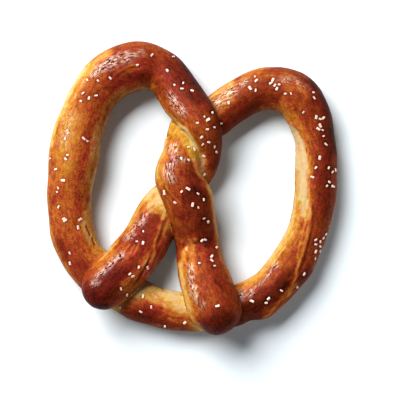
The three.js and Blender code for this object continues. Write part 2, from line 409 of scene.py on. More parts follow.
    (0.4, 1.3, 1.3, (623, -0.99), (642, -0.99)),
    (0.44, 2, 1.6, (631, 0.42), (644, 0.45)),
    (0.78, 2, 2, (640, -0.5), (646, -0.5)),
    (0.5, 0.8, 1, (618, -1), (632, -1)),
    (0.51, 1.8, 1.6, (611, 0.36), (626, 0.3)),
    (0.38, 1.6, 1.6, (626, 0.32), (635, 0.3)),
    (0.34, 1.2, 1.2, (621, 0.62), (629, 0.68)),
    (0.07, 0.6, 0.8, (618.5, 0.52), (622, 0.54)),
    (0.76, 1.4, 1.3, (615, 0), (623, -0.08)),
    (0.48, 1.4, 1.3, (632, 0.68), (652, 0.66)),
    (0.18, 1.3, 1.2, (629, 0.85), (650, 0.9)),
    (0.28, 0.5, 0.7, (612, 0.3), (617, 0.2), (620, 0.12)),
    # Painted shade: the left flank of the arm, where arm A shades it, is drawn dark.
    (0.86, 1, 1, (604, 0.98), (621, 0.96)),
    (0.93, 0.5, 0.8, (641, -0.35), (645, -0.5)),
    (0.86, 0.3, 0.5, *ARM_B_GROOVE),
    (0.42, 1.5, 0.7, *BLISTER),
    (0.82, 9, 3, (660, -0.1), (661, 0)),
    (0.92, 5, 3, (660, -0.3), (661, 0.2)),
    (0.66, 3.6, 2.4, (648, -0.25), (650, 0.35)),
    (0.88, 2.2, 2.2, (667, -0.6), (667, 0.6)),
    (0.28, 1.2, 1.4, (651, 0.95), (664, 0.86)),
)

# The crust's hue: 1 where it is yellower than its browning alone would make it, -1 where it is
# redder. Later ones cover earlier ones.
HUES = (
    # Arm of end A and the strand over the crossing.
    (-0.7, 6, 4, (2, -0.2), (22, -0.1)),
    (0.5, 2.5, 3, (0, 0.6), (18, 0.7)),
    (-0.7, 5, 4, (24, 0.1), (52, 0)),
    (-0.8, 2.5, 2.5, (48, -0.35), (56, -0.35)),
    (-1.5, 2, 1.5, (28, 0.88), (36, 0.8), (52, 0.72)),
    (0.5, 3, 2.5, (58, -0.2), (66, -0.2)),
    (0.4, 2.5, 2, (98, -0.5), (112, -0.95)),
    (-0.6, 2.5, 2, (92, 0.2), (98, 0.1)),
    (0.5, 3, 3, (104, 0.5), (116, 0.5)),
    (-0.4, 5, 3, (122, 0.2), (140, 0.2)),
    # Left loop.
    (-0.5, 6, 4, (144, 0.1), (156, -0.1)),
    (-1, 2, 2.5, (170, 0), (178, -0.05)),
    (-1.2, 2.5, 2, (160, -0.62), (176, -0.62)),
    (-0.3, 4, 3, (184, -0.5), (215, -0.5)),
    (0.5, 5, 3, (202, 0.4), (230, 0.4)),
    (0.8, 2.5, 2.5, (180, 0.9), (215, 0.9)),
    (-0.7, 3, 2.5, (216, -0.6), (254, -0.5)),
    (-0.3, 4, 3, (262, 0.3), (284, 0.3)),
    # Base.
    (0.4, 5, 2.5, (308, -0.5), (346, -0.5)),
    (-0.8, 3.5, 3, (310, 0.3), (328, 0.1)),
    # Right loop.
    (0.6, 3.5, 3, (368, 0.5), (398, 0.5)),
    (-0.4, 2, 2, (374, -0.3), (384, -0.3)),
    (0.5, 3, 3, (430, 0.4), (440, 0.4)),
    (0.5, 3, 3, (500, 0.6), (518, 0.5)),
    (0.5, 2.5, 2, (378, -0.95), (430, -0.9)),
    (0.8, 2.5, 2, (400, -0.6), (420, -0.5)),
    (0.5, 2.5, 1.5, (424, -0.8), (438, -0.8)),
    (-0.1, 3, 1.5, (444, -0.6), (480, -0.88)),
    (-0.3, 3, 3, (436, 0.3), (480, 0.3)),
    # The turn, the front strand and the arm of end B.
    (2, None, 1, (546, 1.3), *CREASE, (590, -1.3), (546, -1.3)),
    (-0.6, 2, 2, (574, -0.85), (588, -0.85)),
    (-0.3, 4, 3, (594, 0.3), (616, 0.2)),
    (-0.4, 4, 3, (612, -0.3), (648, -0.4)),
    (0.6, 3, 2.5, (622, 0.5), (650, 0.6)),
)

# Where the skin dried tight and shines through fine wrinkles, from 0 to 1; the same places carry a
# painted highlight on the crust's colour. The highest counts.
SHINE = (
    (1, 1.7, 1.3, (9, -0.42), (15, -0.52), (22, -0.5), (28, -0.41)),
    (1, 1.9, 1.4, (38, -0.64), (45, -0.62), (51, -0.54)),
    (0.9, 1, 1.2, (50, -0.56), (58, -0.45)),
    (1, 2.2, 1.2, (121, -0.5), (130, -0.45)),
    (0.8, 1.2, 1.4, (130, -0.42), (135, -0.4)),
    (1, 2.2, 1.2, (161, 0.42), (170, 0.45), (176, 0.42), (182, 0.38)),
    (1, 1.8, 1.4, (164, 0.26), (174, 0.24)),
    (0.5, 2.4, 2, (204, 0.45), (217, 0.45)),
    (1, 3, 1.4, (368, -0.35), (376, -0.48)),
    (1, 0.9, 1.2, (375, -0.45), (379, -0.55), (388, -0.55), (394, -0.6), (399, -0.6)),
    (0.6, 1.8, 1.8, (495, 0.45), (503, 0.45)),
    (1, 3, 1.4, (529, 0.5), (542, 0.45)),
    (0.8, 1.4, 1.4, (520, 0.65), (525, 0.58), (531, 0.52)),
    (0.6, 0.9, 0.8, (567.8, 0.35), (569, 0.25)),
    (1, 2.6, 1, (570.5, 0.5), (573, 0.27), (575.5, 0.13)),
    (1, 1.2, 0.8, (575.5, 0), (576.2, -0.4)),
    (0.9, 2.4, 1.2, (579, 0.42), (583, 0.32)),
    (1, 1.8, 1.2, *ARM_B_RIDGE),
)

# Ridges and, below 0, grooves. In a row: height; half the width; the places. Millimetres.
RIDGES = (
    # Arm of end A.
    (0.5, 0.9, *ARM_RIDGE),
    (-0.5, 0.9, (60, 0.42), (55, 0.42), (48, 0.5), (42, 0.56)),
    (0.4, 0.8, (44, 0.62), (37, 0.68), (32, 0.8)),
    *((-0.6, 0.5, *crack) for crack in ARM_CRACKS),
    (0.25, 0.6, (28, -0.15), (36, -0.2)),
    (0.25, 0.6, (29, -0.4), (35, -0.36)),
    # The shoulder and the left loop.
    (0.8, 0.9, *SHOULDER_LIP),
    (0.4, 0.5, *TOP_FOLD),
    (-0.35, 0.8, (161, -0.14), (168, -0.2), (174, -0.26)),
    *((-0.5, 0.5, *crack) for crack in INNER_CRACKS),
    # Base and right loop.
    *((0.45, 0.6, *fold) for fold in BASE_FOLDS),
    (0.6, 0.8, *SPLIT_LIP[:-2]),
    (0.3, 0.8, *SPLIT_LIP[-3:-1]),
    (0.35, 0.6, *SPLIT_RIDGE),
    (-0.35, 0.6, (406, -0.42), (420, -0.45), (440, -0.43)),
    (-0.35, 0.5, (404, -0.68), (424, -0.68), (440, -0.68)),
    (-0.5, 0.5, (464, -0.5), (466, -0.5)),
    # Front strand.
    (-1, 0.8, *CREASE),
    *((0.45, 0.6, *fold) for fold in FRONT_FOLDS),
    (-0.4, 0.5, (581, 0.85), (587, 0.69), (593, 0.5)),
    # Arm of end B.
    (0.5, 0.9, *ARM_B_RIDGE),
    (-0.5, 0.6, *ARM_B_GROOVE),
    (0.5, 0.8, (616, 0.22), (621, -0.02), (628, 0.05)),
    (0.4, 0.8, (637, 0.92), (650, 0.96), (663, 0.9)),
    (0.7, 1.9, *BLISTER),
)

# Where the surface lies lower than the crust beside it. In a row: depth; half the width of the
# slope at the rim; the outline. Millimetres.
HOLLOWS = (
    (-0.8, 1.2, (84, -1.2), (84, 0.3), *SHOULDER_LIP[::-1], (120, -1.2)),
    (-0.35, 1.4, (413, -1.2), (418, -0.6), (423, -0.3), *SPLIT_LIP[5:-1], (480, -1.2)),
    (-0.35, 1.2, (428, -1.2), (430, -0.5), *SPLIT_LIP[6:-2], (476, -1.2)),
    (-0.35, 1.2, (611, 0.4), (616, 0.22), (621, -0.02), (628, 0.05), (641, 0.3), (641, 0.8),
     (626, 0.84), (617, 0.66)),
)

# Where the hand-rolled rope swells or, below 0, thins at one side: along; side, -1 left or 1
# right; how far, and over what half length, in millimetres.
SWELLS = (
    (42, -1, -0.8, 7), (42, 1, 0.9, 8), (84, 1, -0.7, 4), (128, -1, 0.5, 6), (141, -1, -1.5, 7),
    (183, -1, 0.7, 8), (189, 1, -1.4, 8), (201, 1, -1, 7), (222, -1, 0.4, 8), (235, 1, -0.9, 7),
    (264, 1, 1, 7), (268, -1, -0.9, 14), (315, 1, 0.8, 7), (324, -1, -0.7, 5), (333, 1, 0.5, 8),
    (371, 1, -1, 3), (379, 1, 1.1, 4), (405, 1, 1.2, 7), (430, 1, -0.5, 6), (460, -1, 0.7, 9),
    (453, 1, -0.5, 8), (480, 1, 0.8, 6), (523, -1, -1.1, 9), (516, 1, 0.4, 10), (543, -1, 1, 5),
    (555, 1, 3.4, 5), (570, 1, -1.1, 4), (582, 1, 1.1, 5), (594, -1, 1, 5), (630, -1, -0.9, 6),
    (662, 1, -2, 6),
)

# Coarse salt: where the grains fell, strand by strand.
SALT_PLACES = (
    # Strand over the crossing.
    (89, 0.45), (97, -0.05), (100, 0.65), (102, 0.5), (103, -0.2), (104, 0.15), (107, -0.2),
    (110, 0.2), (110, 0.6), (111, 1), (114, 0.4), (115, -0.15), (116, 0.3), (116, 0.75),
    (130, 0.5), (134, 0.2), (136, 0.4), (138, 0.05),
    # Left loop.
    (146, 0.2), (148, 0.85), (155, 0.45), (161, -0.05), (177, -0.15), (183, 0.05), (186, 0.4),
    (190, -0.25), (192, 0.25), (193, -0.05), (196, 0.2), (212, 0.35), (213, 0.3), (214, -0.35),
    (215, -0.5), (216, 0.35), (224, 0.15), (226, 0.2), (227, 0.85), (232, 0.55), (237, 0.2),
    (241, 0.4), (243, 0.45), (250, 0.4), (256, 0.25), (257, 0.2), (258, -0.45), (262, -0.3),
    (273, 0.4), (277, 0.6),
    # Arm of end A and the base.
    (26, 0.35), (26, 0.5), (31, 0.45), (33, 0.75), (41, -0.2), (42, 0.05), (47, -0.2), (304, -0.2),
    (308, -0.05), (308, 0.7), (316, -0.3), (318, 0.45), (322, 0.05), (331, 0.85), (340, 0.5),
    (375, 0), (381, 0.35), (383, 0.25),
    # Right loop.
    (390, 0.35), (396, 0.85), (403, 0.75), (412, 0.85), (415, 0.7), (416, 0.9), (418, 0.55),
    (418, 0.8), (420, 0.45), (420, 0.7), (422, 0.8), (424, 0.85), (447, 0.45), (447, 0.75),
    (449, 0.55), (451, -0.25), (454, 0.7), (455, 0.85), (456, -0.1), (456, 0.5), (461, 0.1),
    (467.5, 0.45), (471.5, 0.4), (474.5, 0.42), (475.5, 0.22), (477, 0.36), (480, 0.42),
    (480, 0.58), (481.5, 0.26), (486, -0.2), (490, 0.5), (492, 0.6), (499, -0.1), (502, -0.2),
    (506, 0.15), (507, -0.05), (508, 0.1), (509, 0.35), (510, 0.2), (516, 0.45), (516, 0.65),
    (518, 0.05), (520, 0.25), (533, 0.1),
    # The turn and the front strand.
    (566, -0.6), (566, -0.3), (573, -0.1), (573, -0.45), (587, 0.8), (590, -0.2), (590, 0.1),
    (594, -0.5), (594, 0.55), (597, -0.65), (598, -0.15), (600, -0.35),
    # Arm of end B.
    (606, -0.5), (608, -0.65), (617, -0.4), (617, -0.25), (622, -0.8), (626, -0.5), (628, -0.45),
    (628, 0.05), (631, -0.5), (651, -0.15),
)

# ---------------------------------------------------------------------------------------------
# Unevenness: layers of smooth noise. In a row: height, size in millimetres, seed. LUMPS shape the
# dough, each SWAY moves the edges of what is drawn, and SHINE_BREAKS breaks up the gloss.
# ---------------------------------------------------------------------------------------------
LUMPS = ((1.0, 17.0, 1), (0.3, 8.0, 2), (0.2, 3.0, 3))
RELIEF_SWAY = ((0.5, 3.5, 4), (0.25, 1.8, 5))
BROWNING_SWAY = ((0.55, 6.0, 11), (0.35, 2.6, 12), (0.2, 1.3, 13))
SHINE_SWAY = ((0.6, 3.0, 21), (0.4, 1.4, 22))
SHINE_BREAKS = ((1.0, 2.2, 23), (0.5, 1.1, 24))
HUE_SWAY = ((0.6, 4.0, 31), (0.3, 1.8, 32))
FLANK_SWAY = ((5.0, 6.0, 41), (2.0, 2.5, 42))

# Browning levels where nothing is drawn, on the flanks and on the sole; by how much painted shade
# darkens the crust beside salt, and by how much a painted highlight lightens a tight, glossy skin.
PLAIN_LEVEL = 0.72
FLANK_LEVEL = 0.34
SOLE_LEVEL = 0.58
SALT_PAINTED_SHADE = 0.10
SHINE_PAINTED_HIGHLIGHT = 0.15
# How far round a grain the painted shade reaches and the crust dips, and how deep it dips, in
# millimetres.
SALT_SHADE_REACH = 2.0
DIP_REACH = 1.6
DIP_DEPTH = 0.2

# Places on the rope this many millimetres apart along it begin to count, and then fully count,
# as two strands that touch.
STRANDS_APART = (30.0, 60.0)
# Heights on the rope's side, from -1 under it to 1 on its crest: where drawn lines begin to sway
# and where they fully do; where they are drawn out downwards, and how far; where they end.
SWAYING = (0.5, -0.1)
DRAWN_OUT_FROM = 0.2
DRAWN_OUT_BY = 0.6
UNDERSIDE = -0.5
# What a distance on the rope is given as beyond the reach of a search.
OUT_OF_REACH = 1000.0
# Points handled at a time, steps that fit the skin to the dough, and the longest of them in mm.
BLOCK = 20000
FITTING_STEPS = 4
LONGEST_STEP = 2.0
# Rings in each rounded rope end, and the narrowest of them as a share of the width.
END_RINGS = 6
NARROWEST = 0.02
# A height over the whole pretzel, in metres.
WELL_ABOVE = 0.1

# Salt: kinds of grain; how a kind's length and flatness vary; how a grain's size varies, and its
# tilt, in radians either way; its thickness as a share of its width; and its bevel and the
# unevenness of its corners as shares of its thickness.
GRAIN_KINDS = 6
GRAIN_STRETCH = (0.75, 1.2)
GRAIN_FLATNESS = (0.8, 1.1)
GRAIN_SCALE = (0.7, 1.2)
GRAIN_TILT = 0.5
GRAIN_THICKNESS = 0.85
GRAIN_BEVEL = 0.22
GRAIN_UNEVENNESS = 0.3


def smooth_step(low, high, value):
    """0 below low, 1 above high and a smooth rise between them. low may be the higher one."""
    share = np.clip((value - low) / (high - low), 0.0, 1.0)
    return share * share * (3.0 - 2.0 * share)


def smooth_curve(points, per_span=40):
    """A uniform Catmull-Rom curve through the points, sampled per_span times in each span."""
    points = np.asarray(points, float)
    first = 2 * points[0] - points[1]
    last = 2 * points[-1] - points[-2]
    padded = np.vstack([first, points, last])
    t = (np.arange(per_span) / per_span)[:, None]
    spans = []
    for p0, p1, p2, p3 in zip(padded, padded[1:], padded[2:], padded[3:]):
        square = (2 * p0 - 5 * p1 + 4 * p2 - p3) * t**2
        cube = (3 * p1 - p0 - 3 * p2 + p3) * t**3
        spans.append(0.5 * (2 * p1 + (p2 - p0) * t + square + cube))
    return np.vstack(spans + [points[-1:]])


def noise(points, size, seed):
    """Smooth random numbers from -1 to 1 that change over about size millimetres."""
    cell = points / size + 1000.0
    corner = np.floor(cell).astype(np.int64)
    part = cell - corner
    part = part * part * (3.0 - 2.0 * part)
    total = np.zeros(len(points))
    for step in itertools.product((0, 1), repeat=3):
        number = (corner + step) @ np.array([73856093, 19349663, 83492791]) + seed * 2654435
        number = (number ^ (number >> 13)) * 1274126177
        number = (number ^ (number >> 16)) & 0xFFFF
        weight = np.prod(np.where(step, part, 1.0 - part), axis=1)
        total += weight * (number / 32767.5 - 1.0)
    return total


def layered(points, rows):
    """The sum of layers of noise."""
    return sum(height * noise(points, size, seed) for height, size, seed in rows)


class Rope:
    """The rope's middle line, sampled evenly, with its heading, sideways, up and width."""

    def __init__(self, dough):
        self.roundness = dough.roundness
        x, y, width, lift = np.array(STATIONS, float).T
        z = lift - dough.sole_depth / MM + width * dough.roundness / 2
        curve = smooth_curve(np.column_stack([x, y, z, width]))
        steps = np.hypot(*np.diff(curve[:, :2], axis=0).T)
        along = np.concatenate([[0.0], np.cumsum(steps)])
        self.length = along[-1]
        self.along = np.arange(0.0, self.length, SAMPLE_STEP)
        even = [np.interp(self.along, along, column) for column in curve.T]
        self.middle = np.column_stack(even[:3])
        self.width = even[3]
        heading = np.gradient(self.middle, axis=0)
        self.heading = heading / np.linalg.norm(heading, axis=1)[:, None]
        side = np.cross(self.heading, (0.0, 0.0, 1.0))
        self.side = side / np.linalg.norm(side, axis=1)[:, None]
        self.up = np.cross(self.side, self.heading)
        self.bounds = (END_LENGTH, *STRETCH_ENDS, self.length - END_LENGTH)

    def stretch(self, number):
        """The samples of one of the three stretches, none of which crosses itself."""
        low, high = self.bounds[number:number + 2]
        return np.flatnonzero((self.along >= low) & (self.along <= high))

    def place(self, along, across):
        """Plan x and y of a place on the rope."""
        row = int(round(along / SAMPLE_STEP))
        return (self.middle[row] + self.side[row] * across * self.width[row] / 2)[:2]

    def at(self, along, values):
        """One of the rope's values at places along it."""
        if values.ndim == 1:
            return np.interp(along, self.along, values)
        return np.column_stack([np.interp(along, self.along, v) for v in values.T])


class Skin:
    """For points in space: how far each is out of the dough, and where on the rope it lies.

    along: millimetres from end A. across: -1 at the rope's left edge to 1 at its right edge.
    above: -1 under the rope to 1 on its crest.
    """

    def __init__(self, rope, points, dough):
        self.rope = rope
        self.points = points
        found = [self.nearest(rope.stretch(number)) for number in range(3)]
        distance, along, across, above = (np.array(rows) for rows in zip(*found))
        order = np.argsort(distance, axis=0)
        row = np.arange(len(points))
        best, second = order[0], order[1]
        near, next_near = distance[best, row], distance[second, row]
        apart = np.abs(along[best, row] - along[second, row])
        # Strands that touch run together in a fillet, and the sole's edge is rounded.
        fillet, sole_round = dough.fillet / MM, dough.sole_round / MM
        blend = fillet * smooth_step(*STRANDS_APART, apart) + 1e-6
        meet = np.maximum(blend - (next_near - near), 0.0) / blend
        out = near - meet**2 * blend / 4
        below = -points[:, 2]
        edge = np.maximum(sole_round - np.abs(out - below), 0.0) / sole_round
        self.distance = np.maximum(out, below) + edge**2 * sole_round / 4
        self.along = along[best, row]
        self.across = across[best, row]
        self.above = above[best, row]
        self.half_width = rope.at(self.along, rope.width) / 2
        # Where the drawn lines and patches find each point: they sway on the rope's flanks and
        # do not run down under it.
        sway = layered(points, FLANK_SWAY)
        self.drawn_along = self.along + sway * smooth_step(*SWAYING, self.above)
        beyond = DRAWN_OUT_BY * np.maximum(DRAWN_OUT_FROM - self.above, 0.0)
        self.drawn_across = self.across + np.sign(self.across) * beyond

    def nearest(self, samples):
        """Distance, along, across and above for one stretch of the rope."""
        rope = self.rope
        middle = rope.middle[samples]
        squares = (middle**2).sum(1)
        index = np.empty(len(self.points), int)
        for start in range(0, len(self.points), BLOCK):
            block = self.points[start:start + BLOCK]
            index[start:start + BLOCK] = np.argmin(squares - 2 * block @ middle.T, axis=1)
        picked = samples[index]
        offset = self.points - rope.middle[picked]
        ahead = (offset * rope.heading[picked]).sum(1)
        beyond = np.where((index == 0) | (index == len(samples) - 1), ahead, 0.0)
        half_width = rope.width[picked] / 2
        across = (offset * rope.side[picked]).sum(1)
        above = (offset * rope.up[picked]).sum(1)
        radius = np.sqrt(across**2 + above**2 + beyond**2) + 1e-9
        across = across / half_width
        above = above / (half_width * rope.roundness)
        share = np.sqrt(across**2 + above**2 + (beyond / END_LENGTH) ** 2) + 1e-9
        return radius * (1 - 1 / share), rope.along[picked] + ahead, across, above

    def distance_to(self, places, reach, closed=False):
        """Millimetres from the points to a line drawn on the rope, or OUT_OF_REACH. Inside a
        closed outline it is below 0."""
        rope = self.rope
        line = np.array([(a, c * rope.at(a, rope.width) / 2) for a, c in places], float)
        low, high = line[:, 0].min() - reach, line[:, 0].max() + reach
        along = self.drawn_along
        rows = np.flatnonzero((along > low) & (along < high) & (self.above > UNDERSIDE))
        spot = np.column_stack([along, self.drawn_across * self.half_width])[rows]
        nearest = np.full(len(rows), OUT_OF_REACH)
        inside = np.zeros(len(rows), bool)
        ends = np.roll(line, -1, axis=0) if closed else line[1:]
        for start, end in zip(line, ends):
            run = end - start
            share = np.clip(((spot - start) @ run) / (run @ run), 0.0, 1.0)
            nearest = np.minimum(nearest, np.hypot(*(spot - start - share[:, None] * run).T))
            if closed and start[1] != end[1]:
                level = (start[1] > spot[:, 1]) != (end[1] > spot[:, 1])
                meeting = start[0] + (spot[:, 1] - start[1]) * run[0] / run[1]
                inside ^= level & (spot[:, 0] < meeting)
        distance = np.full(len(self.points), OUT_OF_REACH)
        distance[rows] = np.where(inside, -nearest, nearest)
        return distance

    def cover(self, radius, soft, places, wander):
        """How much of each point a stroke or, without a radius, a patch covers, from 0 to 1."""
        size = radius or 0.0
        distance = self.distance_to(places, size + 2 * soft + 2, closed=radius is None)
        return smooth_step(size + soft, size - soft, distance + wander * soft)

    def paint(self, value, strokes, wander):
        """Lays strokes over a value at each point, one after another."""
        for level, radius, soft, *places in strokes:
            value += (level - value) * self.cover(radius, soft, places, wander)
        return value

    def near_salt(self, reach):
        """1 beside a salt grain, fading to 0 at reach millimetres from it."""
        near = np.zeros(len(self.points))
        for along, across in SALT_PLACES:
            x, y = self.rope.place(along, across)
            distance = np.hypot(self.points[:, 0] - x, self.points[:, 1] - y)
            near = np.maximum(near, smooth_step(reach, reach / 2, distance) * (self.above > 0))
        return near


# ---------------------------------------------------------------------------------------------
# Settings
# ---------------------------------------------------------------------------------------------
def size_of(name, description, millimetres):
    return FloatProperty(name=name, description=description, default=millimetres * MM,
                         unit="LENGTH", precision=5)


def length_of(name, description, metres):
    return FloatProperty(name=name, description=description, default=metres, unit="LENGTH")


def angle_of(name, description, degrees):
    return FloatProperty(name=name, description=description, default=math.radians(degrees),
                         subtype="ANGLE")


def colour_of(name, description, hex_colour):
    return FloatVectorProperty(name=name, description=description, subtype="COLOR", size=4,
                               default=linear(hex_colour))


class DoughSettings(bpy.types.PropertyGroup):
    roundness: FloatProperty(
        name="Roundness", description="Height of the risen rope as a share of its width",
        default=0.82, min=0.5, max=1.0, subtype="FACTOR")
    sole_depth: size_of(
        "Sole Depth", "How much of the underside the baking sheet flattens away", 1.6)
    sole_round: size_of("Sole Edge", "Rounding of the edge of the flat sole", 3.0)
    fillet: size_of("Seam", "How softly strands run together where they touch", 1.4)
    fineness: size_of("Fineness", "Size of the faces of the dough's skin", 0.77)
    lumps: size_of("Lumps", "Height of the slow unevenness of hand-rolled dough", 0.35)


class CrustSettings(bpy.types.PropertyGroup):
    cream: colour_of("Cream", "Dough that split open late and hardly browned", "c4aa82")
    straw: colour_of("Straw", "First colour on the pale rims", "c0965c")
    golden: colour_of("Golden", "Golden flanks", "b67330")
    orange: colour_of("Orange", "Half-browned crust", "a5531d")
    chestnut: colour_of("Chestnut", "Fully browned crust", "8b3717")
    red_brown: colour_of("Red Brown", "Crests that caught the heat", "6f240f")
    dark: colour_of("Dark", "Darkest crests", "501609")
    mahogany: colour_of("Mahogany", "Nearly black tips", "2c0a05")
    # Painted highlight: the pale pink tint that the glossy flakes are mixed towards.
    highlight_tint: colour_of("Highlighted Skin", "Tight skin over the glossy places", "e2bda6")
    flake_size: size_of("Flake Size", "Width of the flakes of the tight, glossy skin", 0.85)


class SaltSettings(bpy.types.PropertyGroup):
    length: size_of("Grain Length", "Longest side of a common grain", 2.0)
    width: size_of("Grain Width", "Width of a common grain", 1.05)
    sunk: FloatProperty(
        name="Sunk", description="Share of a grain's height that sits in the crust",
        default=0.3, min=0.0, max=0.9, subtype="FACTOR")
    seed: IntProperty(name="Seed", description="Seed of the grains' sizes and turns", default=7)
    # The salt's warm pink tints are partly painted reflected light from the brown crust; the cloud
    # also stands for crust seen faintly through a clear grain.
    colour: colour_of("Salt", "Coarse salt, slightly clear", "f6dfcf")
    cloud: colour_of("Cloud", "Where the crust shows faintly through a grain", "ecc2aa")


class StageSettings(bpy.types.PropertyGroup):
    floor: colour_of("Floor", "Plain pale floor", "e9f0f4")
    glow: colour_of("Floor Glow", "Tint of the cool light that the floor gives the shadows",
                    "bcf3ff")
    glow_strength: FloatProperty(
        name="Glow Strength", description="How much light the floor gives of its own",
        default=0.042)
    room: colour_of("Room", "Tint of the pale room and of the card", "ecf0f6")
    fill: FloatProperty(
        name="Fill", description="Brightness of the pale room around the object", default=0.04)
    key_power: FloatProperty(
        name="Key Light", description="Power of the soft box", default=88.0, unit="POWER")
    key_width: length_of("Key Width", "Width of the soft box", 1.5)
    key_height: length_of("Key Height", "Height of the soft box", 1.1)
    key_distance: length_of("Key Distance", "From the soft box to the object", 2.0)
    key_azimuth: angle_of("Key Azimuth", "Where the soft box stands, from +X towards +Y", 130)
    key_elevation: angle_of("Key Elevation", "How high the soft box stands", 43)
    card_power: FloatProperty(
        name="Card", description="Power of the low card that lightens the shaded sides",
        default=10.0, unit="POWER")
    card_width: length_of("Card Width", "Width of the low card", 1.5)
    card_height: length_of("Card Height", "Height of the low card", 0.6)
    card_distance: length_of("Card Distance", "From the low card to the object", 1.5)
    card_azimuth: angle_of("Card Azimuth", "Where the card stands, from +X towards +Y", -35)
    card_elevation: angle_of("Card Elevation", "How high the card stands", 12)
    floor_size: length_of("Floor Size", "Side of the square floor", 6.0)
    floor_gap: size_of("Floor Gap", "How far the floor lies under the sole", 0.1)
    camera_x: size_of("Camera X", "Where the camera hangs, to the right of the origin", 4.16)
    camera_y: size_of("Camera Y", "Where the camera hangs, beyond the origin", -6.24)
    camera_height: length_of("Camera Height", "Height of the camera over the floor", 0.7023)
    lens: FloatProperty(
        name="Lens", description="Focal length for a 36 mm sensor", default=120.0,
        subtype="DISTANCE_CAMERA")


# ---------------------------------------------------------------------------------------------
# Materials
# ---------------------------------------------------------------------------------------------
def node(tree, kind, settings=None, **links):
    """Adds a shader node. settings: its own properties. links: values, sockets or nodes by input
    name, with _ for a space, or input_N for the input numbered N. A node stands for its first
    output in use."""
    made = tree.nodes.new("ShaderNode" + kind)
    for name, value in (settings or {}).items():
        setattr(made, name, value)
    for name, value in links.items():
        number = name.removeprefix("input_")
        socket = made.inputs[int(number) if number.isdigit() else name.replace("_", " ")]
        if isinstance(value, bpy.types.Node):
            value = next(output for output in value.outputs if output.enabled)
        if isinstance(value, bpy.types.NodeSocket):
            tree.links.new(value, socket)
        else:
            socket.default_value = value
    return made


# What the nodes that calculate and those that mix colours are set to.
ADD = {"operation": "ADD"}
SUBTRACT = {"operation": "SUBTRACT"}
MULTIPLY = {"operation": "MULTIPLY"}
MULTIPLY_ADD = {"operation": "MULTIPLY_ADD"}
MIX_COLOURS = {"data_type": "RGBA"}
MULTIPLY_COLOURS = {"data_type": "RGBA", "blend_type": "MULTIPLY"}


def new_material(name):
    material = bpy.data.materials.new(name)
    material.use_nodes = True
    material.node_tree.nodes.clear()
    return material, material.node_tree


def per_metre(millimetres):
    """The texture scale at which a pattern repeats over that many millimetres."""
    return 1.0 / (millimetres * MM)


